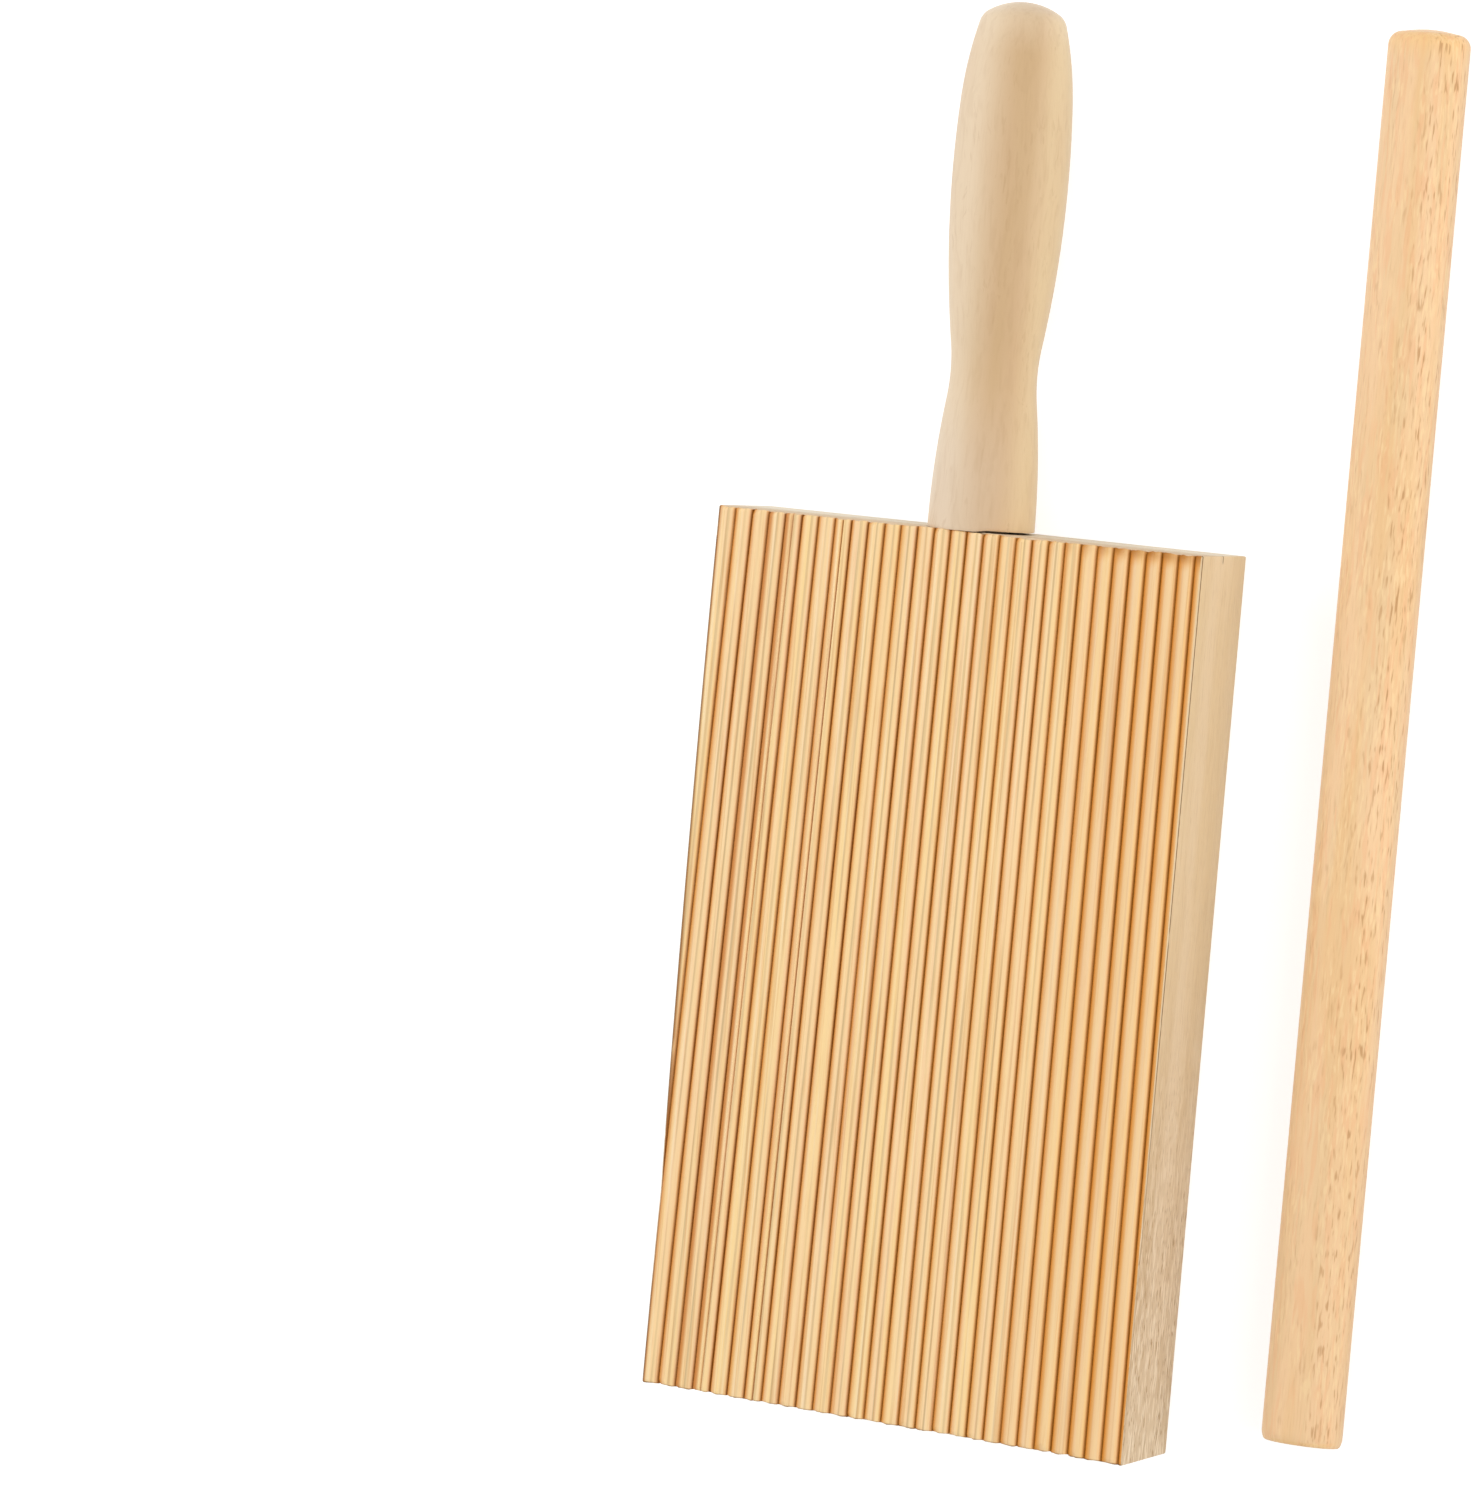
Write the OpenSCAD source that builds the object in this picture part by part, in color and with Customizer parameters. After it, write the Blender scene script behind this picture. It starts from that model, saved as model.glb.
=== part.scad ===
// Reeded beech board for shaping gnocchi, with its turned handle and its loose rolling rod.
// It lies on its back on the worktop, reeds up, with the handle towards +Y.
// The origin is the middle of the board's flat underside. Sizes are in millimetres.

/* [Board] */
// Width of the board, across the reeds
board_w = 77; // [60:0.5:110]
// Length of the board along the reeds, without the handle
board_l = 129; // [90:0.5:200]
// Thickness of the board at the crowns of the reeds
board_t = 16; // [14:0.5:24]
// Bevel that eases the arrises of the underside
back_bevel = 0.6; // [0.2:0.1:1.5]

/* [Reeds] */
// Distance between two neighbouring grooves in the middle of the board
reed_pitch = 2.68; // [2.2:0.02:4.4]
// Depth of the grooves below the crowns
groove_depth = 0.75; // [0.4:0.05:1]
// Width of the planed strip that is left along each crown
crown_flat = 0.4; // [0.3:0.05:0.8]
// Distance of the middle groove from the board's centre line
reed_shift = 1.1; // [-2:0.1:2]
// Angle of the middle groove to the board's length, in degrees
reed_skew = 0.5; // [-1:0.1:1]
// Share of their width that the reeds lose from the plain end to the handle end
reed_fan = 0.056; // [0:0.002:0.08]
// Width that each reed loses against its left-hand neighbour
reed_drift = 0.0094; // [0:0.0002:0.012]
// Width of the slips of the cutter, at the face
stray_w = 0.6; // [0.3:0.05:0.9]

/* [Handle] */
// Length of the handle beyond the board
handle_l = 75.6; // [68:0.1:120]
// Diameter of the foot, where its shoulder meets the board
foot_d = 15.4; // [13.6:0.1:18]
// Diameter of the neck
neck_d = 12.4; // [10:0.1:13]
// Distance of the neck from the board
neck_at = 22.5; // [15:0.5:30]
// Radius of the hollow of the neck, along the handle
neck_curve = 29; // [15:1:40]
// Largest diameter of the grip
grip_d = 16.6; // [14.6:0.1:20]
// Distance of the grip's thickest place from the handle's end
grip_back = 24.6; // [20:0.1:30]
// Where the grip starts to draw in towards its end, from the thickest place
butt_from = 10.5; // [6:0.5:14]
// Radius on which the grip draws in, along the handle
butt_curve = 58; // [50:1:90]
// Radius of the domed end
dome_curve = 9.4; // [8.5:0.1:12]
// Radius that rounds the corner between the grip and the domed end
dome_round = 2.8; // [0.8:0.1:3.6]
// Gap between the grip and the worktop
grip_clear = 0.2; // [0.1:0.1:2]

/* [Joint of board and handle] */
// Diameter of the tenon on the handle's foot
tenon_d = 8; // [6:0.1:9]
// Length of the tenon
tenon_l = 20; // [12:0.5:35]
// Bevel on the tenon's tip
tenon_bevel = 0.8; // [0.3:0.1:1.5]
// Room for glue all round the tenon
glue_gap = 0.1; // [0.05:0.01:0.2]
// Room for glue beyond the tenon's tip
glue_pocket = 1; // [0.5:0.1:3]

/* [Rod] */
// Diameter of the rolling rod
rod_d = 11.9; // [8:0.1:16]
// Length of the rolling rod
rod_l = 199.7; // [140:0.1:260]
// Bevel on both ends of the rod
rod_bevel = 0.8; // [0.3:0.1:2]
// Gap between the rod and the board's side
rod_gap = 17; // [4:0.5:40]

/* [Hidden] */
$fn = 96;
// Slips of the cutter: place among the grooves, counted from the middle one, and share of the depth
STRAYS = [[-10.46, 0.4], [-7.45, 0.75]];
// How far a cutting shape runs past the face it cuts
past = 1;
// Steps of a long flat arc, so that its chords stay within a few microns of it
fine = 720;

board_end = board_l / 2;
handle_z = max(board_t / 2, grip_d / 2 + grip_clear);
reeds_each_way = ceil((board_w / 2 + abs(reed_shift)) / reed_pitch) + 2;

// The foot, the neck and the grip are arcs that run smoothly into each other
grip_at = handle_l - grip_back;
foot_swell = (foot_d - neck_d) / 2;
grip_swell = (grip_d - neck_d) / 2;
foot_curve = (pow(foot_swell, 2) + pow(neck_at, 2)) / (2 * foot_swell) - neck_curve;
grip_curve = (pow(grip_swell, 2) + pow(grip_at - neck_at, 2)) / (2 * grip_swell) - neck_curve;
neck_low = neck_at * foot_curve / (foot_curve + neck_curve);
neck_high = neck_at + (grip_at - neck_at) * neck_curve / (grip_curve + neck_curve);
butt_low = grip_at + butt_from;
butt_turn = asin(butt_from / grip_curve);
butt_centre = [
    grip_d / 2 - grip_curve + (grip_curve - butt_curve) * cos(butt_turn),
    grip_at + (grip_curve - butt_curve) * sin(butt_turn)
];

// The rounded corner touches the grip's last arc and the dome from inside
dome_centre = [0, handle_l - dome_curve];
dome_reach = dome_curve - dome_round;
butt_reach = butt_curve - dome_round;
butt_apart = norm(butt_centre - dome_centre);
butt_way = (butt_centre - dome_centre) / butt_apart;
corner_along = (pow(dome_reach, 2) - pow(butt_reach, 2) + pow(butt_apart, 2)) / (2 * butt_apart);
corner_out = sqrt(pow(dome_reach, 2) - pow(corner_along, 2));
corner_centre = dome_centre + corner_along * butt_way + corner_out * [butt_way.y, -butt_way.x];
corner_low = corner_centre.y + dome_round * (corner_centre - butt_centre).y / butt_reach;
corner_high = corner_centre.y + dome_round * (corner_centre - dome_centre).y / dome_reach;
blank_r = max(foot_d, grip_d) / 2 + past;

rod_x = board_w / 2 + rod_gap + rod_d / 2;
rod_far_end = board_end + handle_l;

// Place of a groove across the board at its middle, by its number from the middle groove
function groove_x(n) = reed_shift + reed_pitch * n - reed_drift / 2 * n * n;

// How far a groove moves across the board between the plain end and the handle end
function groove_lean(n) = board_l * tan(reed_skew) - reed_fan * (groove_x(n) - reed_shift);

// Width of a groove from crown to crown at the board's middle
function groove_w(n) = reed_pitch - reed_drift * n;

// Radius of the reeds on both sides of a groove, which bulge up to the planed strips
function reed_round(w) = (pow(w / 2, 2) + pow(groove_depth, 2)) / (2 * groove_depth);

// True where a groove's flanks come onto the board at either end
function on_board(n) =
    abs(groove_x(n)) - abs(groove_lean(n)) / 2 < board_w / 2 + groove_w(n) / 2 - crown_flat;

// A cutter laid along a groove's line, from its outline with the face at height 0
module along_groove(n) {
    run = board_l + 4 * past;
    translate([groove_x(n), 0, board_t])
        rotate([90, 0, -atan(groove_lean(n) / board_l)])
            translate([0, 0, -run / 2])
                linear_extrude(run) children();
}

// Outline of one groove: a cusp between the round flanks of two reeds
module groove_outline(w) {
    r = reed_round(w);
    rise = r - sqrt(r * r - pow(crown_flat / 2, 2));
    cut_w = w - crown_flat / 2;
    difference() {
        translate([-cut_w / 2, -groove_depth]) square([cut_w, groove_depth + past]);
        for (side = [-1, 1])
            translate([side * w / 2, rise - r]) circle(r);
    }
}

// Outline of a slip of the cutter: a plain V
module stray_outline(depth) {
    widen = (depth + past) / depth;
    polygon([[-stray_w / 2 * widen, past], [0, -depth], [stray_w / 2 * widen, past]]);
}

// The block with the long arrises of its underside eased
module block() {
    translate([0, board_end, 0])
        rotate([90, 0, 0])
            linear_extrude(board_l)
                polygon([
                    [-board_w / 2 + back_bevel, 0], [board_w / 2 - back_bevel, 0],
                    [board_w / 2, back_bevel], [board_w / 2, board_t],
                    [-board_w / 2, board_t], [-board_w / 2, back_bevel]
                ]);
}

// The solid block of beech with its reeded face and the mortise for the handle
module board() {
    color([0.93, 0.72, 0.45])
        difference() {
            block();
            for (n = [-reeds_each_way : reeds_each_way])
                if (on_board(n))
                    along_groove(n) groove_outline(groove_w(n));
            for (stray = STRAYS)
                along_groove(stray[0]) stray_outline(groove_depth * stray[1]);
            translate([0, board_end + past, handle_z])
                rotate([90, 0, 0])
                    cylinder(d = tenon_d + 2 * glue_gap, h = tenon_l + glue_pocket + past);
        }
}

// Outline of the waste that turning takes off round a bulge, between two places along the blank
module round_bulge(from, to, centre, r) {
    difference() {
        translate([0, from]) square([blank_r + past, to - from]);
        translate(centre) circle(r, $fn = fine);
    }
}

// Outline of the waste that turning takes off round the corner of the handle's end
module round_corner() {
    difference() {
        translate([corner_centre.x, corner_low])
            square([blank_r + past - corner_centre.x, corner_high - corner_low]);
        translate(corner_centre) circle(dome_round, $fn = fine);
    }
}

// Outline of the waste that turning takes out of a hollow
module round_hollow(from, to, centre, r) {
    intersection() {
        translate([0, from]) square([blank_r + past, to - from]);
        translate(centre) circle(r, $fn = fine);
    }
}

// Outline of the waste round the tenon and past its bevelled tip
module round_tenon() {
    polygon([
        [tenon_d / 2, 0], [blank_r + past, 0], [blank_r + past, -tenon_l - past],
        [tenon_d / 2 - tenon_bevel - past, -tenon_l - past], [tenon_d / 2, tenon_bevel - tenon_l]
    ]);
}

// Half the outline of the handle, with its axis upright and the board's end at height 0
module handle_outline() {
    difference() {
        translate([0, -tenon_l]) square([blank_r, tenon_l + handle_l + past]);
        round_tenon();
        round_bulge(0, neck_low, [foot_d / 2 - foot_curve, 0], foot_curve);
        round_hollow(neck_low - past, neck_high + past, [neck_d / 2 + neck_curve, neck_at], neck_curve);
        round_bulge(neck_high, handle_l, [grip_d / 2 - grip_curve, grip_at], grip_curve);
        round_bulge(butt_low, handle_l, butt_centre, butt_curve);
        round_corner();
        round_bulge(corner_high - past, handle_l + 2 * past, dome_centre, dome_curve);
    }
}

// The turned handle with the tenon that is glued into the board
module handle() {
    color([0.96, 0.83, 0.66])
        translate([0, board_end, handle_z])
            rotate([-90, 0, 0])
                rotate_extrude() handle_outline();
}

// The loose dowel that dough is rolled round, level with the handle's far end
module rod() {
    color([0.93, 0.74, 0.52])
        translate([rod_x, rod_far_end - rod_l, rod_d / 2])
            rotate([-90, 0, 0])
                rotate_extrude()
                    polygon([
                        [0, 0], [rod_d / 2 - rod_bevel, 0], [rod_d / 2, rod_bevel],
                        [rod_d / 2, rod_l - rod_bevel], [rod_d / 2 - rod_bevel, rod_l], [0, rod_l]
                    ]);
}

board();
handle();
rod();
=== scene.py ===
from math import atan2, cos, pi, radians, sin, sqrt, tan

import bpy
import numpy as np
from mathutils import Matrix, Vector
from mathutils.geometry import tessellate_polygon


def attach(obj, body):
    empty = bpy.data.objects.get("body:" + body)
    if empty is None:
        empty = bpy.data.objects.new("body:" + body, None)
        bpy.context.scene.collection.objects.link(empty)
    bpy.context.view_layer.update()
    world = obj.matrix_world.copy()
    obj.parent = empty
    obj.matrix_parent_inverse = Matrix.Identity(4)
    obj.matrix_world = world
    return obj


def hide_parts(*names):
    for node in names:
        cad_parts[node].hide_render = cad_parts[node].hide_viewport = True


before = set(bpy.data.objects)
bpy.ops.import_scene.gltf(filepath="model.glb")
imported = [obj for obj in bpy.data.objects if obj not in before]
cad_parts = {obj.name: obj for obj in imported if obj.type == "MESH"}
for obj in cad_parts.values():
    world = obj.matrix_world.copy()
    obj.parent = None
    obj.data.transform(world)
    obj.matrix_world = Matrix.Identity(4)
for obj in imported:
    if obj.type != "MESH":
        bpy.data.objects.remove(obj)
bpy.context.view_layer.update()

# The board
# A solid block of beech, planed, with reeds cut along its upper face by a comb of round cutters.
# The cutters tear small chips out of the reed ends, and a drill sinks a mortise into one end grain.

MM = 0.001
BOARD_W, BOARD_L, BOARD_T = 77.0, 129.0, 16.0
BACK_BEVEL = 0.6
ARRIS = 0.22
END_ROUND = 0.18
FLARE = 0.35

REED_PITCH, GROOVE_DEPTH, CROWN_FLAT = 2.68, 0.75, 0.4
REED_SHIFT, REED_SLOPE = 1.1, tan(radians(0.5))
REED_FAN, REED_DRIFT = 0.056, 0.0094
FIRST_GROOVE, LAST_GROOVE = -13, 14
STRAY_W = 0.6
STRAYS = ((-10.46, 0.3), (-7.45, 0.37))
FULL_SLIP = 0.4
WAVER, WAVER_STEP, BITE, BITE_STEP = 0.022, 11, 0.05, 19
RAGGED, RAGGED_REACH = 0.3, 2.4
REED_PLACES = (0, 0.012, 0.04, 0.1, 0.2, 0.31, 0.42, 0.5, 0.58, 0.69, 0.8, 0.9, 0.96, 0.988)
STRAY_PLACES = (-1, -0.66, -0.33, 0, 0.33, 0.66, 1)
LEFT_STRIPS, RIGHT_STRIPS = 44, 9
SIDE_POINTS, UNDER_POINTS, HOLE_SIDES = 9, 14, 48
ROW = 0.8
END_ROWS = (0.3, 0.45, 0.65, 0.9, 1.2, 1.55, 2.0, 2.6)

MORTISE_D, MORTISE_L, MORTISE_Z = 8.2, 21.0, 8.5
REED_CHANCES, REED_ZERO = 90, 40
SHARP = radians(38)
FACE_SLOT, SIDE_SLOT, END_SLOT = 0, 1, 2


def wander(along, step, seed):
    """Smooth chance numbers from -1 to 1 along a length, a new one at every step."""
    knots = np.arange(along.min() - step, along.max() + 2 * step, step)
    return np.interp(along, knots, np.random.default_rng(seed).uniform(-1, 1, len(knots)))


def groove_place(number, y):
    """Where a groove lies across the board. The grooves fan out a little towards the plain end."""
    run = REED_PITCH * number - REED_DRIFT / 2 * number * number
    return REED_SHIFT + run + (REED_SLOPE - REED_FAN * run / BOARD_L) * y


def groove_number(x, y):
    """The inverse: a place on the face as a groove number, with its fraction across the reed."""
    run = (x - REED_SHIFT - REED_SLOPE * y) / (1 - REED_FAN * y / BOARD_L)
    return (REED_PITCH - np.sqrt(REED_PITCH ** 2 - 2 * REED_DRIFT * run)) / REED_DRIFT


def slip_share(number, x, y):
    """How near a place is to where a cutter slipped, 1 on its line."""
    return np.clip(1 - np.abs(x - groove_place(number, y)) / (STRAY_W / 2), 0, 1)


def cutter_depth(x, y):
    """How deep the comb of cutters went at a place on the face."""
    near = np.round(groove_number(x, y))
    width = REED_PITCH - REED_DRIFT * near
    waver = np.zeros_like(x)
    bite = np.ones_like(x)
    for number in np.unique(near):
        here = near == number
        waver[here] = WAVER * wander(y[here], WAVER_STEP, int(number) + 60)
        bite[here] = 1 + BITE * wander(y[here], BITE_STEP, int(number) + 160)
    off = np.abs(x - groove_place(near, y) - waver)
    bulge = ((width / 2) ** 2 + GROOVE_DEPTH ** 2) / (2 * GROOVE_DEPTH)
    rise = bulge - np.sqrt(bulge ** 2 - (CROWN_FLAT / 2) ** 2)
    fall = bulge - rise - np.sqrt(bulge ** 2 - np.clip(width / 2 - off, 0, width / 2) ** 2)
    depth = np.maximum(fall, 0) * bite
    for number, deep in STRAYS:
        depth = np.maximum(depth, deep * slip_share(number, x, y))
    return depth


def chip_depth(x, y):
    """What broke out of the reed ends as the cutters left the wood, more so on the right."""
    number = groove_number(x, y)
    reed = np.floor(number).astype(int) + REED_ZERO
    chance = np.random.default_rng(7)
    rightward = np.clip(np.arange(REED_CHANCES) / 12 - 3.6, 0, 1)
    reach = chance.uniform(0, 1, REED_CHANCES) ** 1.3 * (0.9 + 1.1 * rightward) + 0.15
    side = chance.uniform(0.12, 0.5, REED_CHANCES)
    at_end = BOARD_L / 2 - np.abs(y)
    nearness = 1 - np.abs(number - np.floor(number) - side[reed]) / 0.4
    deep = 0.36 + 0.25 * rightward[reed] * (y > 0)
    return np.clip(reach[reed] * np.sqrt(np.clip(nearness, 0, 1)) - at_end, 0, 1.2) * deep


def ragged_end(x, y):
    """How far the splintered end of the face stands back from the sawn end."""
    near = np.clip(1 - (BOARD_L / 2 - np.abs(y)) / RAGGED_REACH, 0, 1) ** 2
    inner = np.clip((BOARD_W / 2 - ARRIS - np.abs(x)) / 1.5, 0, 1)
    tufts = 0.5 + 0.25 * wander(x, 0.9, 81) + 0.25 * wander(x, 0.35, 82)
    seated = (y > 0) * np.clip(2 - np.abs(x + 3) / 2.8, 0, 1)
    return RAGGED * near * inner * tufts * (1 - seated)


def mesh_piece(name, points, faces):
    """A piece from points in millimetres, smooth apart from its sharp edges."""
    mesh = bpy.data.meshes.new(name)
    mesh.from_pydata([tuple(p) for p in np.asarray(points) * MM], [], faces)
    mesh.validate()
    mesh.shade_smooth()
    mesh.set_sharp_from_angle(angle=SHARP)
    piece = bpy.data.objects.new(name, mesh)
    bpy.context.scene.collection.objects.link(piece)
    return piece


def tube_faces(rows, around):
    """The quads between rows of points that each go once round a piece."""
    return [
        (row * around + i, (row + 1) * around + i,
         (row + 1) * around + (i + 1) % around, row * around + (i + 1) % around)
        for row in range(rows - 1) for i in range(around)
    ]


def column_numbers():
    """The lines that the mesh follows along the reeds, as groove numbers."""
    half = STRAY_W / 2 / REED_PITCH
    plain = [n + part for n in range(FIRST_GROOVE, LAST_GROOVE) for part in REED_PLACES]
    kept = [n for n in plain if all(abs(n - stray) > half * 1.2 for stray, _ in STRAYS)]
    extra = [stray + half * part for stray, _ in STRAYS for part in STRAY_PLACES]
    return np.array(sorted(kept + extra + [LAST_GROOVE]))


def board_row(y, inset, numbers):
    """One row of points round the board from the left edge of its face, drawn in at the ends.

    With it come the depth of the cut at each point, and how many points lie on the face.
    """
    flare = FLARE * (0.5 - y / BOARD_L)
    left, right = ARRIS - BOARD_W / 2, BOARD_W / 2 - ARRIS + flare
    inner = groove_place(numbers, y)
    first = left + (inner[0] - left) * np.arange(LEFT_STRIPS) / LEFT_STRIPS
    last = inner[-1] + (right - inner[-1]) * np.arange(1, RIGHT_STRIPS + 1) / RIGHT_STRIPS
    x = np.concatenate([first, inner, last])
    ys = np.full_like(x, y)
    depth = cutter_depth(x, ys)
    chips = chip_depth(x, ys)
    z = BOARD_T - depth - chips
    back = np.sign(y) * ragged_end(x, ys)
    turn = np.radians([30, 60, 90])
    down = np.linspace(0, 1, SIDE_POINTS)[1:]
    bend = np.radians([0, 30, 60, 90])
    under = np.linspace(1, -1, UNDER_POINTS)
    low = BACK_BEVEL

    def side(sign, top):
        start = top - ARRIS
        half = BOARD_W / 2 + flare * (sign > 0)
        round_x = half - ARRIS * np.concatenate([1 - np.sin(turn), np.zeros(len(down))])
        round_z = np.concatenate([top - ARRIS * (1 - np.cos(turn)), start + (low - start) * down])
        foot_x = half - low + low * np.cos(bend[1:])
        foot_z = low - low * np.sin(bend[1:])
        return sign * np.concatenate([round_x, foot_x]), np.concatenate([round_z, foot_z])

    right_x, right_z = side(1, z[-1])
    left_x, left_z = side(-1, z[0])
    flat_x = under[1:-1] * (BOARD_W / 2 - low)
    ring_x = np.concatenate([x, right_x, flat_x, left_x[::-1]])
    ring_z = np.concatenate([z, right_z, np.zeros_like(flat_x), left_z[::-1]])
    ring_y = y - np.concatenate([back, np.zeros(len(ring_x) - len(x))])
    ring_x = ring_x * (1 - 2 * inset / BOARD_W)
    ring_z = inset + ring_z * (1 - 2 * inset / BOARD_T)
    ring_depth = np.concatenate([depth + 0.7 * chips, np.zeros(len(ring_x) - len(x))])
    return np.column_stack([ring_x, ring_y, ring_z]), ring_depth, len(x)


numbers = column_numbers()
middle = BOARD_L / 2 - END_ROWS[-1]
row_y = np.linspace(-middle, middle, int(2 * middle / ROW))
end_turn = np.radians([0, 30, 60, 90])
near_end = [(BOARD_L / 2 - step, 0) for step in END_ROWS[:0:-1]]
near_end += [(BOARD_L / 2 - END_ROUND * (1 - sin(a)), END_ROUND * (1 - cos(a))) for a in end_turn]
stations = [(-y, inset) for y, inset in near_end[::-1]]
stations += [(y, 0) for y in row_y] + near_end

points, depths = [], []
for y, inset in stations:
    ring, ring_depth, face_count = board_row(y, inset, numbers)
    points.append(ring)
    depths.append(ring_depth)
around = len(points[0])
points, depths = np.concatenate(points), np.concatenate(depths)
faces = tube_faces(len(stations), around)
materials = [FACE_SLOT if i % around < face_count else SIDE_SLOT for i in range(len(faces))]

hole_turn = np.linspace(0, 2 * pi, HOLE_SIDES, endpoint=False)
hole = np.column_stack([
    MORTISE_D / 2 * np.cos(hole_turn), np.full(HOLE_SIDES, BOARD_L / 2),
    MORTISE_Z + MORTISE_D / 2 * np.sin(hole_turn)
])
hole_start = len(points)
floor_start = hole_start + HOLE_SIDES
points = np.concatenate([points, hole, hole - [0, MORTISE_L, 0]])
depths = np.concatenate([depths, np.zeros(2 * HOLE_SIDES)])


def flat_cap(*loops):
    """Triangles that close an end, round any hole in it."""
    order = [i for loop in loops for i in loop]
    outlines = [[Vector((points[i][0], points[i][2], 0)) for i in loop] for loop in loops]
    return [tuple(order[i] for i in face) for face in tessellate_polygon(outlines)]


plain_end = range(around)
handle_end = range(hole_start - around, hole_start)
hole_rim = range(hole_start, floor_start)
caps = flat_cap(plain_end) + flat_cap(handle_end, hole_rim)
for i in range(HOLE_SIDES):
    after = (i + 1) % HOLE_SIDES
    caps.append((hole_start + i, floor_start + i, floor_start + after, hole_start + after))
caps.append(tuple(range(floor_start, floor_start + HOLE_SIDES)))
board = mesh_piece("board_wood", points, faces + caps)

mesh = board.data
across, lengthwise = points[:, 0], points[:, 1]
slips = (slip_share(number, across, lengthwise) * deep / FULL_SLIP for number, deep in STRAYS)
marks = (
    ("groove_depth", depths), ("groove_number", groove_number(across, lengthwise)),
    ("slip", sum(slips))
)
for name, values in marks:
    mark = mesh.attributes.new(name, "FLOAT", "POINT")
    mark.data.foreach_set("value", np.asarray(values, np.float32))
mesh.polygons.foreach_set("material_index", materials + [END_SLOT] * len(caps))


class Wire:
    """A socket of a material's nodes, so that shader maths reads as plain Python."""

    def __init__(self, socket):
        self.socket = socket

    def node(self, kind, settings, sockets, out=0):
        """Adds a node: its settings first, then the values or wires of its sockets."""
        new = self.socket.id_data.nodes.new(kind)
        for name, value in settings.items():
            setattr(new, name, value)
        for name, value in sockets.items():
            if isinstance(value, Wire):
                self.socket.id_data.links.new(value.socket, new.inputs[name])
            else:
                new.inputs[name].default_value = value
        return Wire(new.outputs[out])

    def maths(self, operation, first, second=0.0):
        return self.node("ShaderNodeMath", {"operation": operation}, {0: first, 1: second})

    def __add__(self, other):
        return self.maths("ADD", self, other)

    def __sub__(self, other):
        return self.maths("SUBTRACT", self, other)

    def __rsub__(self, other):
        return self.maths("SUBTRACT", other, self)

    def __mul__(self, other):
        return self.maths("MULTIPLY", self, other)

    def __abs__(self):
        return self.maths("ABSOLUTE", self)

    __radd__ = __add__
    __rmul__ = __mul__

    def into(self, socket):
        self.socket.id_data.links.new(self.socket, socket)


def shade(red, green, blue):
    """A colour as it looks on a screen, from 0 to 255, in the numbers that Blender takes."""
    parts = [c / 255 for c in (red, green, blue)]
    return tuple(c / 12.92 if c < 0.04 else ((c + 0.055) / 1.055) ** 2.4 for c in parts) + (1,)


def new_timber(name, roughness):
    """A material with its shader, and the place on the piece in millimetres."""
    material = bpy.data.materials.new(name)
    material.use_nodes = True
    shader = material.node_tree.nodes["Principled BSDF"]
    shader.inputs["Roughness"].default_value = roughness
    shader.inputs["IOR"].default_value = 1.42
    place = Wire(material.node_tree.nodes.new("ShaderNodeTexCoord").outputs["Object"])
    at = place.node("ShaderNodeVectorMath", {"operation": "SCALE"},
                    {"Vector": place, "Scale": 1 / MM})
    return material, shader, at


def between(value, low, high):
    """Rises smoothly from 0 to 1 as a value goes from low to high."""
    return value.node("ShaderNodeMapRange", {"interpolation_type": "SMOOTHSTEP"},
                      {"Value": value, "From Min": low, "From Max": high})


def blend(share, first, second):
    """The first colour, with a share of the second."""
    return share.node("ShaderNodeMix", {"data_type": "RGBA", "clamp_factor": True},
                      {0: share, 6: first, 7: second}, out=2)


def along_grain(at, across, along, seed):
    """The place, drawn out along the grain, which runs with the board's length."""
    return at.node("ShaderNodeVectorMath", {"operation": "MULTIPLY_ADD"},
                   {0: at, 1: (1 / across, 1 / along, 1 / across),
                    2: (seed * 7.3, seed * 3.1, seed * 5.7)})


def streaks(at, across, along, seed, detail=2.0):
    """Streaks of a width and length, from 0 to 1."""
    return at.node("ShaderNodeTexNoise", {"noise_dimensions": "3D"},
                   {"Vector": along_grain(at, across, along, seed), "Scale": 1.0, "Detail": detail})


def swayed(at, across, along, seed, by):
    """The place, pushed about a little, so that what lies on it doesn't run dead straight."""
    return at.node("ShaderNodeVectorMath", {"operation": "MULTIPLY_ADD"},
                   {0: streaks(at, across, along, seed), 1: by, 2: at})


def flecks(at, across, along, seed, low=0.14, high=0.34):
    """Short thin marks that lie along the grain, 1 in the middle of each."""
    apart = at.node("ShaderNodeTexVoronoi", {"voronoi_dimensions": "3D", "feature": "F1"},
                    {"Vector": along_grain(at, across, along, seed), "Scale": 1.0}, out="Distance")
    return 1 - between(apart, low, high)


def part_of(at, axis):
    return at.node("ShaderNodeSeparateXYZ", {}, {"Vector": at}, out=axis)


def attribute(at, name):
    return at.node("ShaderNodeAttribute", {"attribute_name": name}, {}, out="Fac")


def bump(height, distance, shader):
    """Relief of a height of 0 to 1 times a distance in millimetres."""
    relief = height.node("ShaderNodeBump", {}, {
        "Strength": 1.0, "Distance": distance * MM, "Height": height
    }, out="Normal")
    relief.into(shader.inputs["Normal"])


PEACH, STRAW = shade(254, 218, 164), shade(255, 221, 150)
ROSE, MILKY = shade(252, 210, 166), shade(253, 230, 192)
HONEY, ORANGE_SHADE_AND_GRAIN, SHADE_BROWN = shade(252, 203, 127), shade(216, 135, 22), shade(150, 86, 2)
CROWN_SHADE_GREY, TAWNY, SLIP_SHADE = shade(206, 176, 128), shade(212, 162, 104), shade(184, 112, 40)
LEFT_FLANK_SHADE, PAINTED_HIGHLIGHT = shade(206, 134, 62), shade(255, 224, 166)
WAN_HIGHLIGHT, END_SHADE, AMBER_SHADE = shade(240, 214, 178), shade(120, 92, 62), shade(214, 158, 56)

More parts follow.
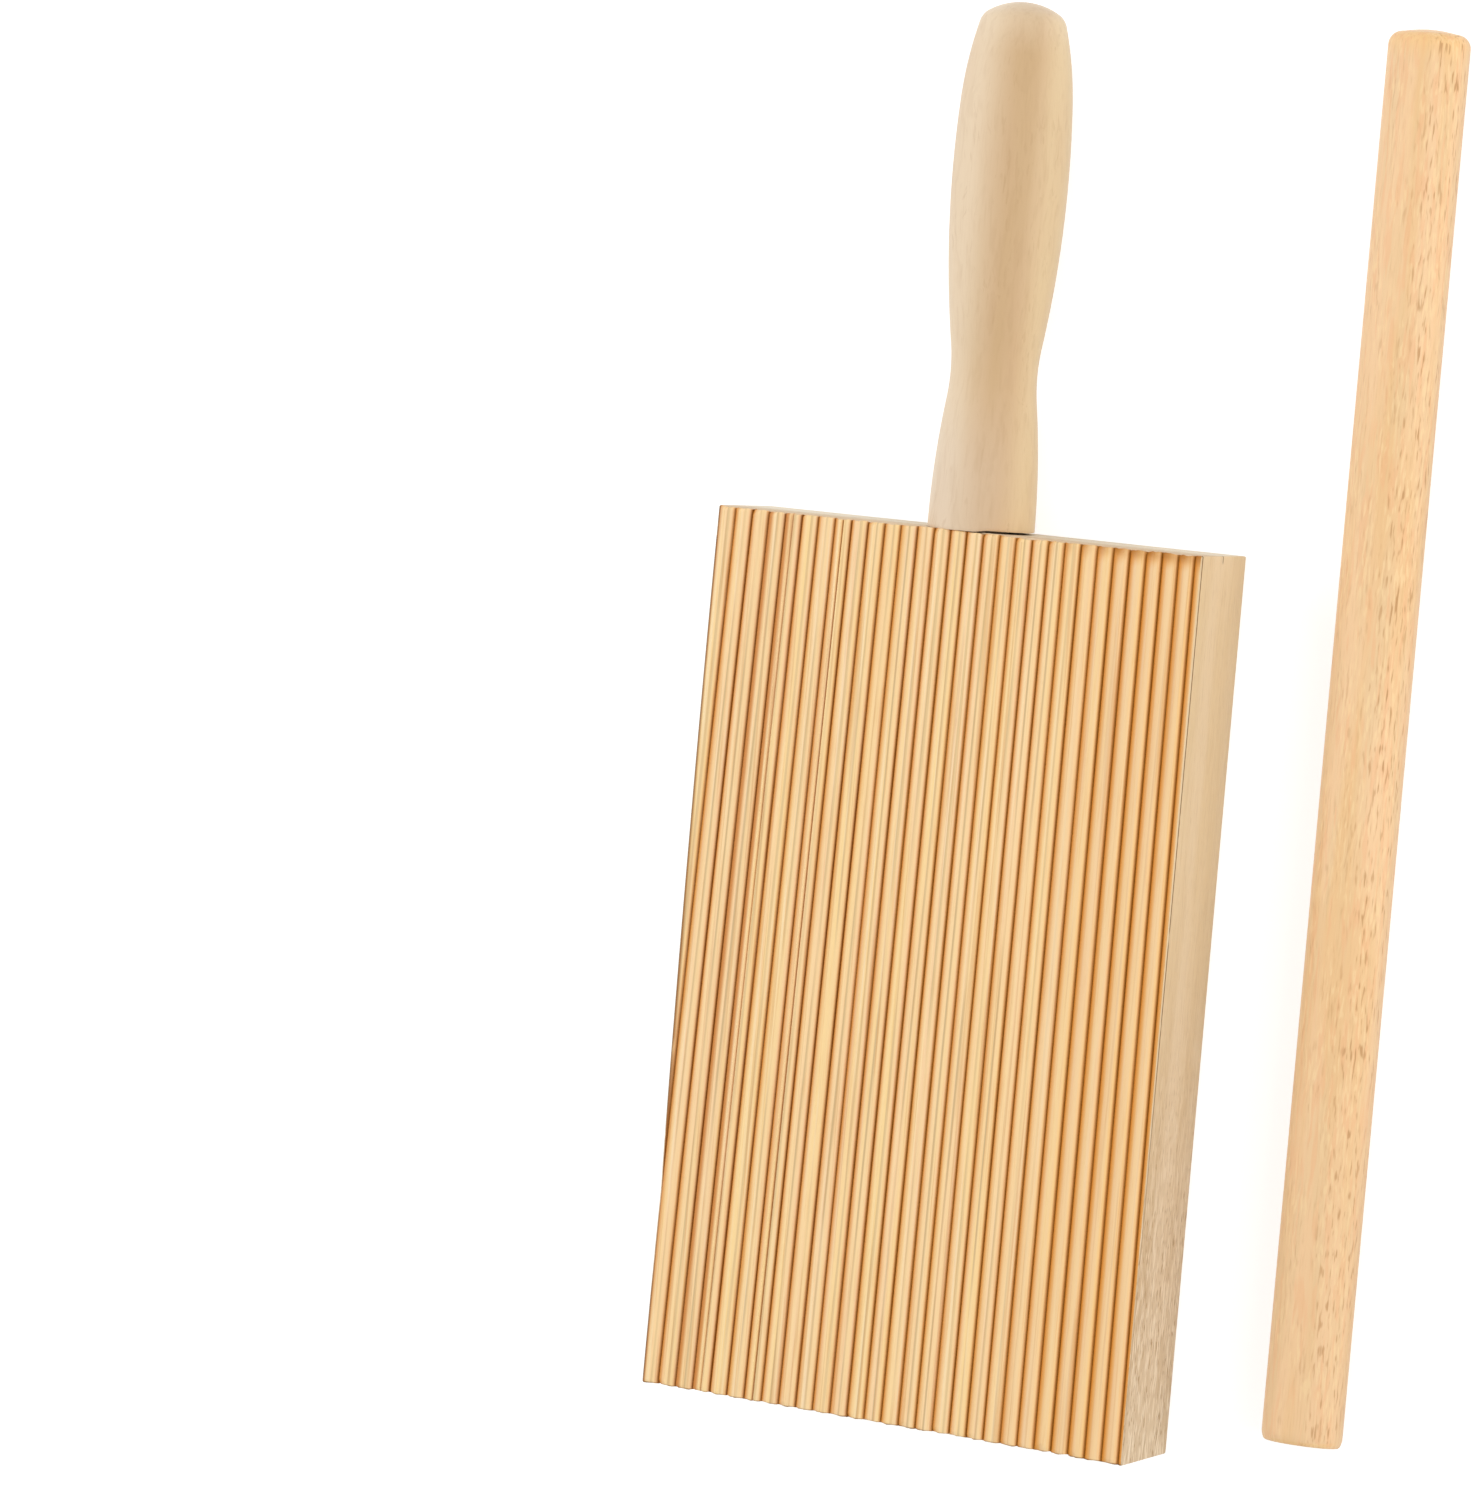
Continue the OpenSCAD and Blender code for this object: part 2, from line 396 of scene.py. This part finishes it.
reeded, shader, at = new_timber("reeded_face", 0.55)
x, y = part_of(at, "X"), part_of(at, "Y")
number = attribute(at, "groove_number")
depth = attribute(at, "groove_depth")
across_reed = number.maths("FRACT", number)
right_side = between(number, -8, 3)
rightmost = between(x, 12, 30)
not_right = 1 - between(number, 5, 9)
fine = streaks(at, 0.22, 9, 3, 3.0)

# The timber's own colours
colour = blend(between(streaks(at, 2.4, 110, 1), 0.4, 0.62) * 0.55, PEACH, STRAW)
colour = blend(between(streaks(at, 1.3, 70, 2), 0.46, 0.66) * 0.5, colour, ROSE)
colour = blend(between(streaks(at, 0.5, 60, 6), 0.52, 0.68) * 0.5, colour, MILKY)
colour = blend(between(x, 8, 36) * 0.45, colour, HONEY)

# Along each crown a grey line of painted shade that comes and goes, between two painted highlights
crown_shade_place = across_reed + 0.4 * streaks(at, 2.6, 120, 15)
crown_shade = 1 - between(abs(crown_shade_place - 0.86), 0.02, 0.1)
crown_shade = crown_shade * not_right * between(streaks(at, 2.0, 40, 4), 0.28, 0.56)
colour = blend(crown_shade * 0.85, colour, CROWN_SHADE_GREY)
# Painted highlights on both sides of the grey line
inner = between(across_reed, 0.3, 0.38) * (1 - between(across_reed, 0.43, 0.5))
outer_highlight = between(across_reed, 0.62, 0.7) * (1 - between(across_reed, 0.8, 0.88))
colour = blend((inner + outer_highlight) * not_right * 0.4, colour, PAINTED_HIGHLIGHT)
colour = blend(between(streaks(at, 0.42, 50, 7), 0.56, 0.68) * 0.4, colour, TAWNY)

# Painted shade on the flanks, more orange on the left of each reed and most of all where its end is
# chipped
uneven = between(streaks(at, 2.6, 42, 8), 0.3, 0.7)
chipped_end_shade = rightmost * between(y, 61.8, 64.0)
left_flank_shade = 0.45 + 0.14 * uneven + 0.22 * rightmost + 0.6 * chipped_end_shade
left_flank_shade = 1 - between(across_reed, 0, left_flank_shade)
colour = blend(left_flank_shade * (0.88 + 0.1 * rightmost), colour, ORANGE_SHADE_AND_GRAIN)
# Painted highlight: the crowns of the reeds on the right paler
crown = between(across_reed, 0.32, 0.44) * (1 - between(across_reed, 0.74, 0.82))
colour = blend(crown * rightmost * (1 - chipped_end_shade) * 0.32, colour, WAN_HIGHLIGHT)
# Painted shade, more orange the deeper the groove, more so on the left half of each reed
left_half = 1 - between(across_reed, 0.42, 0.6)
colour = blend(between(depth, 0.28, 0.55) * (0.5 + 0.2 * left_half), colour, ORANGE_SHADE_AND_GRAIN)

# Broader, darker painted shade on the left flanks of two reeds near the left edge
broad_left_shade = between(number, -12.7, -12.1) * (1 - between(number, -10.75, -10.5))
broad_left_shade = broad_left_shade * (1 - between(across_reed, 0.2, 0.5))
colour = blend(broad_left_shade * 0.9, colour, LEFT_FLANK_SHADE)

# Painted shade in the cusps between the reeds and on both sides of them
heel_shade = between(across_reed, 0.84, 0.96) * right_side
colour = blend(heel_shade * 0.15, colour, ORANGE_SHADE_AND_GRAIN)
colour = blend(heel_shade * (0.08 + 0.14 * rightmost), colour, SHADE_BROWN)
colour = blend((1 - between(across_reed, 0.1, 0.28)) * 0.06, colour, SHADE_BROWN)
cusp_shade = between(depth, 0.42, 0.68)
colour = blend(cusp_shade * (1 - 0.3 * uneven - 0.1 * rightmost), colour, SHADE_BROWN)
colour = blend(cusp_shade * between(number, -6, 0) * 0.18, colour, AMBER_SHADE)
# Painted shade at the chipped ends of the reeds on the right, by the handle
colour = blend(left_flank_shade * rightmost * between(y, 62.8, 64.3) * 0.62, colour, SHADE_BROWN)

# Painted shade along the face's left and lower rims and in the cutter's slips, and the finest grain
rim_shade = 1 - between(x, -38.3, -37.8) * between(y, -64.45, -64.1)
colour = blend(rim_shade * 0.9 * between(streaks(at, 3, 9, 9), 0.18, 0.4), colour, SHADE_BROWN)
colour = blend((1 - between(y, -64.48, -64.2)) * 0.7, colour, END_SHADE)
colour = blend(between(attribute(at, "slip"), 0.2, 1.0) * 0.9, colour, SLIP_SHADE)
colour = blend(between(fine, 0.52, 0.72) * 0.16, colour, ORANGE_SHADE_AND_GRAIN)
colour.into(shader.inputs["Base Color"])
(0.5 + 0.15 * fine).into(shader.inputs["Roughness"])
bump(fine + 0.5 * flecks(at, 0.5, 3.0, 5), 0.03, shader)

SIDE, SIDE_GREY, SIDE_DARK = shade(231, 206, 164), shade(215, 188, 151), shade(178, 142, 100)
SIDE_PALE, DARK_LINE_AND_SHADE = shade(250, 231, 202), shade(110, 70, 24)
CHECK_Z = 8.4

planed, shader, at = new_timber("planed_side", 0.62)
x, y, high = part_of(at, "X"), part_of(at, "Y"), part_of(at, "Z")

# Smooth and warm near the handle, greyer and fuzzy with lifted grain towards the plain end
fuzz = 1 - between(y, -48, 8)
broad = between(streaks(at, 5, 70, 11), 0.35, 0.65)
fine = streaks(at, 0.3, 7, 12, 3.0)
sway = swayed(at, 4, 9, 17, (0, 0, 1.6))
pores = between(streaks(sway, 0.3, 1.7, 13, 1.0), 0.57, 0.67)
lifted = between(streaks(sway, 0.3, 3.4, 14, 1.0), 0.52, 0.62)
patches = between(streaks(at, 3.2, 15, 19), 0.36, 0.6)
colour = blend(1 - between(y, -48, 26), SIDE, SIDE_GREY)
colour = blend(broad * 0.3, colour, SIDE_PALE)
colour = blend(between(fine, 0.48, 0.72) * (0.15 + 0.15 * fuzz), colour, SIDE_DARK)
colour = blend(pores * (0.08 + (0.25 + 0.5 * patches) * fuzz), colour, SIDE_DARK)
colour = blend(lifted * (0.08 + 0.6 * fuzz), colour, SIDE_PALE)

# A short check in the handle end
check = (1 - between(abs(high - CHECK_Z), 0.06, 0.22)) * between(y, 63.2, 63.7)
colour = blend(check * 0.7, colour, DARK_LINE_AND_SHADE)

# A dark line along the top of the side, and painted shade along the face's left arris
upper_side_line = between(high, BOARD_T - 0.7, BOARD_T - 0.56)
upper_side_line = upper_side_line * (1 - between(high, BOARD_T - 0.4, BOARD_T - 0.28))
upper_side_line = upper_side_line * between(streaks(at, 3, 6, 18), 0.3, 0.44)
colour = blend(upper_side_line * (0.2 + 0.7 * (1 - fuzz)), colour, DARK_LINE_AND_SHADE)
left_arris_shade = (1 - between(x, -38.4, -38.0)) * between(high, BOARD_T - 0.5, BOARD_T - 0.3)
colour = blend(left_arris_shade * 0.8, colour, DARK_LINE_AND_SHADE)
colour.into(shader.inputs["Base Color"])
(0.58 + 0.15 * fine).into(shader.inputs["Roughness"])
bump(fine - 0.6 * pores * fuzz, 0.05, shader)

END_PALE, END_DARK, END_TORN = shade(254, 246, 228), shade(240, 220, 184), shade(216, 178, 132)
SEAT_GLUE_AND_SHADE, SEAT_R = shade(70, 48, 24), 7.6
PITH_AWAY = (18.0, 0, 60.0)


def end_grain(name):
    """Growth rings seen end on, pricked with pores, with glue and painted shade where the handle is
    seated.
    """
    material, shader, at = new_timber(name, 0.72)
    from_pith = at.node("ShaderNodeVectorMath", {"operation": "ADD"}, {0: at, 1: PITH_AWAY})
    rings = at.node("ShaderNodeTexWave",
                    {"wave_type": "RINGS", "rings_direction": "Y", "wave_profile": "SAW"},
                    {"Vector": from_pith, "Scale": 0.16, "Distortion": 1.2, "Detail": 2.0,
                     "Detail Scale": 0.4})
    pores = at.node("ShaderNodeTexVoronoi", {"feature": "F1"}, {"Vector": at, "Scale": 4.5},
                    out="Distance")
    pores = 1 - between(pores, 0.1, 0.3)
    colour = blend(rings * 0.5, END_PALE, END_DARK)
    colour = blend(pores * 0.5, colour, END_DARK)
    colour = blend((1 - between(part_of(at, "Y"), -1, 1)) * 0.3, colour, END_TORN)
    colour = blend(between(part_of(at, "Z"), 5, 15) * 0.62, colour, END_TORN)
    # Glue and painted shade round the seat of the handle's shoulder
    off_seat = at.node("ShaderNodeVectorMath", {"operation": "DISTANCE"},
                       {0: at, 1: (0, BOARD_L / 2, MORTISE_Z)}, out="Value")
    colour = blend((1 - between(off_seat, SEAT_R - 0.4, SEAT_R)) * 0.9, colour, SEAT_GLUE_AND_SHADE)
    colour.into(shader.inputs["Base Color"])
    bump(1 - pores, 0.05, shader)
    return material


board_end_grain = end_grain("board_end_grain")
for material in (reeded, planed, board_end_grain):
    mesh.materials.append(material)
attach(board, "board")
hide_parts("board")

# The handle
# One piece of beech, turned between centres and sanded, with a round tenon on its foot.
# The tenon is glued into the board, and the shoulder stops a hair short of the board on the right.

HANDLE_L, FOOT_D, NECK_D, NECK_AT, NECK_CURVE = 75.6, 15.4, 12.4, 22.5, 29.0
GRIP_D, GRIP_AT, BUTT_FROM, BUTT_CURVE = 16.6, 51.0, 10.5, 58.0
DOME_CURVE, DOME_ROUND = 9.4, 2.8
TENON_D, TENON_L, TENON_BEVEL = 8.0, 20.0, 0.8
HANDLE_Z = MORTISE_Z
SHOULDER_GAP, GAP_TURN, GAP_FADE = 0.28, radians(25), 3
SHOULDER_RINGS = (4.2, 5.5, 6.8)
FOOT_EASE = ((0, 0.15), (0.02, 0.04), (0.08, 0))
OUT_OF_ROUND, HANDLE_LEAN = 0.03, radians(0.35)
HANDLE_SIDES, HANDLE_ROWS = 144, 150
HANDLE_SLOPE = (0.927, 0.375)

foot_swell, grip_swell = (FOOT_D - NECK_D) / 2, (GRIP_D - NECK_D) / 2
foot_curve = (foot_swell ** 2 + NECK_AT ** 2) / (2 * foot_swell) - NECK_CURVE
grip_curve = (grip_swell ** 2 + (GRIP_AT - NECK_AT) ** 2) / (2 * grip_swell) - NECK_CURVE
neck_low = NECK_AT * foot_curve / (foot_curve + NECK_CURVE)
neck_high = NECK_AT + (GRIP_AT - NECK_AT) * NECK_CURVE / (grip_curve + NECK_CURVE)
butt_turn = np.arcsin(BUTT_FROM / grip_curve)
butt_x = GRIP_D / 2 - grip_curve + (grip_curve - BUTT_CURVE) * cos(butt_turn)
butt_y = GRIP_AT + (grip_curve - BUTT_CURVE) * sin(butt_turn)


def handle_radius(y):
    """Radius of the turned handle at a distance from the board, before its end is domed."""
    if y < neck_low:
        return FOOT_D / 2 - foot_curve + sqrt(foot_curve ** 2 - y ** 2)
    if y < neck_high:
        return NECK_D / 2 + NECK_CURVE - sqrt(NECK_CURVE ** 2 - (y - NECK_AT) ** 2)
    if y < GRIP_AT + BUTT_FROM:
        return GRIP_D / 2 - grip_curve + sqrt(grip_curve ** 2 - (y - GRIP_AT) ** 2)
    return butt_x + sqrt(BUTT_CURVE ** 2 - (y - butt_y) ** 2)


def domed_profile():
    """Place and radius of the rings along the visible handle, with a rounded corner at the dome."""
    dome, butt = Vector((0, HANDLE_L - DOME_CURVE)), Vector((butt_x, butt_y))
    reach, spread = DOME_CURVE - DOME_ROUND, BUTT_CURVE - DOME_ROUND
    apart, way = (butt - dome).length, (butt - dome).normalized()
    along = (reach ** 2 - spread ** 2 + apart ** 2) / (2 * apart)
    corner = dome + along * way + sqrt(reach ** 2 - along ** 2) * Vector((way.y, -way.x))
    from_butt, from_dome = (atan2(*(corner - centre).yx) for centre in (butt, dome))
    rings = [(y, handle_radius(y)) for y in
             np.linspace(0, corner.y + DOME_ROUND * sin(from_butt), HANDLE_ROWS)]
    rings += [(corner.y + DOME_ROUND * sin(a), corner.x + DOME_ROUND * cos(a))
              for a in np.linspace(from_butt, from_dome, 14)[1:]]
    rings += [(dome.y + DOME_CURVE * sin(a), DOME_CURVE * cos(a))
              for a in np.linspace(from_dome, pi / 2, 16)[1:-1]]
    return rings


def turned_piece(name, rings, sides, centre, shape):
    """A turned piece along the board's length, closed at both ends.

    shape takes a ring's place, radius and angles, and gives them back bent a little.
    """
    angles = np.linspace(0, 2 * pi, sides, endpoint=False)
    rows = [shape(y, r, angles) for y, r in rings]
    points = [
        np.column_stack([
            centre[0] + r * np.cos(angles), centre[1] + y, centre[2] + r * np.sin(angles)
        ]) for y, r in rows
    ]
    first, last = len(rings) * sides, len(rings) * sides + 1
    tips = [[centre[0], centre[1] + y, centre[2]] for y in (rows[0][0].mean(), rows[-1][0].mean())]
    faces = tube_faces(len(rings), sides)
    faces += [(first, i, (i + 1) % sides) for i in range(sides)]
    top = (len(rings) - 1) * sides
    faces += [(last, top + (i + 1) % sides, top + i) for i in range(sides)]
    return mesh_piece(name, np.concatenate(points + [tips]), faces)


def turn_about(piece, pivot, angle):
    """Turns a piece a little about an upright line through a place in millimetres."""
    pivot = Vector(pivot) * MM
    turn = Matrix.Rotation(angle, 4, "Z")
    piece.data.transform(Matrix.Translation(pivot) @ turn @ Matrix.Translation(-pivot))


def handle_shape(y, r, angles):
    """The shoulder stands off the board on its right, and the turning is a hair out of round."""
    gap = SHOULDER_GAP * np.clip((np.cos(angles + GAP_TURN) + 0.12) / 0.25, 0, 1)
    on_foot = y >= 0 and r > TENON_D / 2 + 0.01
    lean = gap * max(0.0, 1 - abs(y) / GAP_FADE) if on_foot else np.zeros_like(angles)
    oval = OUT_OF_ROUND * np.cos(2 * angles + 0.6) * min(max(y, 0) / 10, 1)
    return y + lean, r + oval


tenon_rings = [(-TENON_L, TENON_D / 2 - TENON_BEVEL), (TENON_BEVEL - TENON_L, TENON_D / 2),
               (-10, TENON_D / 2), (0, TENON_D / 2)]
foot_rings = [(0, r) for r in SHOULDER_RINGS] + [(y, FOOT_D / 2 - in_by) for y, in_by in FOOT_EASE]
body_rings = [ring for ring in domed_profile() if ring[0] > 0.3]
handle = turned_piece("handle_wood", tenon_rings + foot_rings + body_rings, HANDLE_SIDES,
                      (0, BOARD_L / 2, HANDLE_Z), handle_shape)
turn_about(handle, (0, BOARD_L / 2 + HANDLE_L, HANDLE_Z), HANDLE_LEAN)

TAN, CREAM_HIGHLIGHT, BLUSH = shade(210, 176, 131), shade(249, 232, 204), shade(219, 184, 146)
BARK, BUTTER_HIGHLIGHT, FOOT_HIGHLIGHT = shade(180, 140, 94), shade(249, 231, 188), shade(230, 214, 194)

turned, shader, at = new_timber("turned_wood", 0.5)
shader.inputs["Sheen Weight"].default_value = 0.3
shader.inputs["Sheen Roughness"].default_value = 0.4
x, y, z = part_of(at, "X"), part_of(at, "Y"), part_of(at, "Z")
fine = streaks(at, 0.3, 6, 23, 3.0)
sway = swayed(at, 6, 9, 26, (4, 0, 4))
strokes = streaks(sway, 0.5, 3.4, 24, 1.0)
dashes = between(strokes, 0.6, 0.72) * between(streaks(at, 4, 18, 25), 0.42, 0.58)

# Tan along its ridge, painted light paler down both flanks and paler still on the left of the foot,
# and a painted highlight on the domed end
rightward = x * HANDLE_SLOPE[0] - (z - HANDLE_Z) * HANDLE_SLOPE[1]
foot = 1 - between(y, 70, 88)
colour = blend(between(streaks(at, 4.5, 55, 21), 0.38, 0.62) * 0.35, TAN, BLUSH)
colour = blend((1 - between(rightward, -5.8, 1)) * 0.5, colour, CREAM_HIGHLIGHT)
colour = blend(between(rightward, 2.6, 6.4) * (0.42 - 0.04 * foot), colour, BUTTER_HIGHLIGHT)
colour = blend(foot * (1 - between(rightward, -6, 7)) * 0.54, colour, FOOT_HIGHLIGHT)
colour = blend(between(streaks(at, 9, 40, 22), 0.4, 0.66) * 0.25, colour, BLUSH)
# Painted highlight on the domed end
colour = blend(between(y, 132, 139) * 0.3, colour, CREAM_HIGHLIGHT)
colour = blend(between(streaks(sway, 1.1, 9, 27), 0.5, 0.66) * 0.1, colour, BARK)
colour = blend(between(fine, 0.5, 0.75) * 0.1, colour, BARK)
colour = blend(dashes * 0.17, colour, BARK)
colour.into(shader.inputs["Base Color"])
(0.46 + 0.12 * fine).into(shader.inputs["Roughness"])
bump(fine - 0.5 * dashes, 0.02, shader)
handle.data.materials.append(turned)
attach(handle, "board")
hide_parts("handle")

# The rolling rod
# A length of beech dowel, drawn through a die and cut off, with its ends eased by hand.
# It lies loose beside the board, level with the handle's end.

ROD_D, ROD_L, ROD_X = 11.9, 199.7, 61.45
ROD_SHRINK, ROD_RIPPLE, ROD_TURN = 0.21, 0.02, radians(0.12)
LOW_END_RINGS = (1.8, 3.6)
LOW_EASE = ((0, 0.8), (0.06, 0.5), (0.25, 0.3), (0.7, 0.13), (1.3, 0))
LOW_TRIM, LOW_SLANT, FAR_END_ROUND, FAR_END_DOME = 0.2, 1.2, 1.9, 0.45
ROD_FAR_END = BOARD_L / 2 + HANDLE_L
SLANT_FADE, SHANK_FROM, SHANK_TO = 20, 2, ROD_L - 2.6
ROD_SIDES, ROD_ROWS = 112, 160
ROD_SLOPE = (0.903, 0.43)


def rod_shape(y, r, angles):
    """Never quite round, with its low end sawn a little out of square."""
    slant = LOW_TRIM + LOW_SLANT * (0.5 + 0.5 * np.sin(angles) * r / (ROD_D / 2))
    ripple = ROD_RIPPLE * np.cos(3 * angles + 0.02 * y) - ROD_RIPPLE
    return y + slant * max(0.0, 1 - y / SLANT_FADE), r - ROD_SHRINK + ripple


low_end = [(0, r) for r in LOW_END_RINGS] + [(y, ROD_D / 2 - in_by) for y, in_by in LOW_EASE]
far_flat = ROD_D / 2 - FAR_END_ROUND
far_end = [(FAR_END_DOME * part ** 2, far_flat * part) for part in (0.25, 0.5, 0.75)]
far_end += [(FAR_END_DOME + FAR_END_ROUND * (1 - sin(a)), far_flat + FAR_END_ROUND * cos(a))
            for a in np.linspace(pi / 2, 0, 10)]
shank = np.linspace(SHANK_FROM, SHANK_TO, ROD_ROWS)
rod_rings = low_end + [(y, ROD_D / 2) for y in shank] + [(ROD_L - y, r) for y, r in far_end[::-1]]
rod_z = ROD_D / 2 - ROD_SHRINK
rod = turned_piece("rod_wood", rod_rings, ROD_SIDES, (ROD_X, ROD_FAR_END - ROD_L, rod_z), rod_shape)
turn_about(rod, (ROD_X, ROD_FAR_END - ROD_L / 2, rod_z), ROD_TURN)

APRICOT, AMBER, SAND = shade(247, 206, 158), shade(242, 199, 145), shade(238, 203, 154)
FLECK, PALE_STROKE, RIPE = shade(190, 138, 84), shade(255, 222, 168), shade(250, 202, 136)
ROSY, SHADED = shade(244, 184, 134), shade(214, 176, 132)

dowel, shader, at = new_timber("dowel_wood", 0.52)
shader.inputs["Sheen Weight"].default_value = 0.25
shader.inputs["Sheen Roughness"].default_value = 0.4
x, y, z = part_of(at, "X"), part_of(at, "Y"), part_of(at, "Z")
fine = streaks(at, 0.25, 5, 33, 3.0)
sway = swayed(at, 3, 6, 36, (0.7, 0, 0.7))
strokes = streaks(sway, 0.38, 2.8, 34, 1.0)

# The marks crowd together on the right
crowd = between(x, ROD_X + 0.4, ROD_X + 4.4)
crowded = between(streaks(at, 2.4, 13, 35) + 0.1 * crowd, 0.36, 0.6)
dashes = between(strokes, 0.56, 0.74) * crowded
pale = (1 - between(strokes, 0.33, 0.46)) * crowded

# Both ends are riper in colour than the shank, and its right flank and low part are shaded
along = y - (ROD_FAR_END - ROD_L)
ends = 1 - between(along, 1.6, 2.1) * (1 - between(along, ROD_L - 5, ROD_L - 1))
rightward = (x - ROD_X) * ROD_SLOPE[0] - (z - rod_z) * ROD_SLOPE[1]
colour = blend(between(streaks(at, 3.5, 50, 31), 0.4, 0.62), APRICOT, AMBER)
colour = blend(between(streaks(at, 2.0, 30, 32), 0.45, 0.66) * 0.6, colour, SAND)
colour = blend(ends * 0.6, colour, RIPE)
colour = blend(between(fine, 0.52, 0.74) * 0.18, colour, FLECK)
colour = blend(between(streaks(sway, 0.8, 8, 37, 1.0), 0.5, 0.66) * 0.4, colour, ROSY)
colour = blend(pale * 0.5, colour, PALE_STROKE)
colour = blend(dashes * (0.28 + 0.5 * crowd), colour, FLECK)
colour = blend(between(rightward, 3.7, 5.6) * 0.3, colour, SHADED)
colour = blend((1 - between(along, 20, 90)) * 0.15, colour, SHADED)
colour.into(shader.inputs["Base Color"])
(0.48 + 0.14 * fine).into(shader.inputs["Roughness"])
bump(fine - 0.8 * dashes, 0.03, shader)
rod.data.materials.append(dowel)
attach(rod, "rod")
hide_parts("rod")

# The worktop
# A plain pale sheet that the board and the rod lie on. It looks white, and keeps their shadows.

FLOOR_HALF = 3.0
WORKTOP_GREY, GLOW, GLOW_SHARE = 0.84, 2.6, 0.25

floor_mesh = bpy.data.meshes.new("worktop")
corners = [(i * FLOOR_HALF, j * FLOOR_HALF, 0) for i, j in ((-1, -1), (1, -1), (1, 1), (-1, 1))]
floor_mesh.from_pydata(corners, [], [(0, 1, 2, 3)])
floor = bpy.data.objects.new("worktop", floor_mesh)
bpy.context.scene.collection.objects.link(floor)
paper = bpy.data.materials.new("worktop")
paper.use_nodes = True
nodes = paper.node_tree.nodes
surface = nodes["Material Output"].inputs["Surface"]
rays = Wire(nodes.new("ShaderNodeLightPath").outputs["Is Camera Ray"])
seen = rays.maths("MAXIMUM", rays, Wire(rays.socket.node.outputs["Is Glossy Ray"]))
seen = rays.maths("MAXIMUM", seen, Wire(rays.socket.node.outputs["Is Transmission Ray"]))
matt = rays.node("ShaderNodeBsdfDiffuse", {}, {"Color": (*[WORKTOP_GREY] * 3, 1)})
glow = rays.node("ShaderNodeEmission", {}, {"Color": (1, 1, 1, 1), "Strength": GLOW})
rays.node("ShaderNodeMixShader", {}, {0: seen * GLOW_SHARE, 1: matt, 2: glow}).into(surface)
nodes.remove(nodes["Principled BSDF"])
floor_mesh.materials.append(paper)

# The light and the camera
# Even white light all round, with a large soft lamp on the right and another on the left.
# The camera stands over the right of the board and looks down on it, turned a little.

SKY = 0.6
LAMPS = (("right_softbox", 0.23, 32, 14), ("left_softbox", 0.22, 30, 165))
LAMP_AWAY, LAMP_SIZE = 1.1, 0.8

world = bpy.data.worlds.new("studio")
bpy.context.scene.world = world
world.use_nodes = True
sky = world.node_tree.nodes["Background"]
rays = Wire(world.node_tree.nodes.new("ShaderNodeLightPath").outputs["Is Camera Ray"])
(SKY + (1 - SKY) * rays).into(sky.inputs["Strength"])
sky.inputs["Color"].default_value = (1, 1, 1, 1)

for name, share, height, bearing in LAMPS:
    height, bearing = radians(height), radians(bearing)
    way = Vector((cos(bearing) * cos(height), sin(bearing) * cos(height), sin(height)))
    lamp = bpy.data.lights.new(name, "AREA")
    lamp.shape = "SQUARE"
    lamp.size = LAMP_SIZE
    lamp.energy = share * (pi * LAMP_AWAY) ** 2 / sin(height)
    lamp_object = bpy.data.objects.new(name, lamp)
    lamp_object.location = way * LAMP_AWAY
    lamp_object.rotation_euler = way.to_track_quat("Z", "Y").to_euler()
    bpy.context.scene.collection.objects.link(lamp_object)

CAMERA_AT = Vector((416.22, 100.06, 876.39)) * MM
AZIMUTH, ELEVATION, ROLL = radians(98.963), radians(62.246), radians(4.983)
PHOTO_WIDTH, FOCAL_PIXELS, SENSOR = 1484, 6709.3, 36.0

back = Vector((sin(AZIMUTH) * cos(ELEVATION), -cos(AZIMUTH) * cos(ELEVATION), sin(ELEVATION)))
level = (-back).cross(Vector((0, 1, 0))).normalized()
upright = level.cross(-back)
right = cos(ROLL) * level + sin(ROLL) * upright
up = cos(ROLL) * upright - sin(ROLL) * level
lens = bpy.data.cameras.new("camera")
lens.sensor_fit = "HORIZONTAL"
lens.sensor_width = SENSOR
lens.lens = SENSOR * FOCAL_PIXELS / PHOTO_WIDTH
lens.clip_start, lens.clip_end = 0.05, 20
camera = bpy.data.objects.new("camera", lens)
bpy.context.scene.collection.objects.link(camera)
turn = Matrix((right, up, back)).transposed().to_4x4()
camera.matrix_world = Matrix.Translation(CAMERA_AT) @ turn
bpy.context.scene.camera = camera
bpy.context.scene.view_settings.view_transform = "Standard"
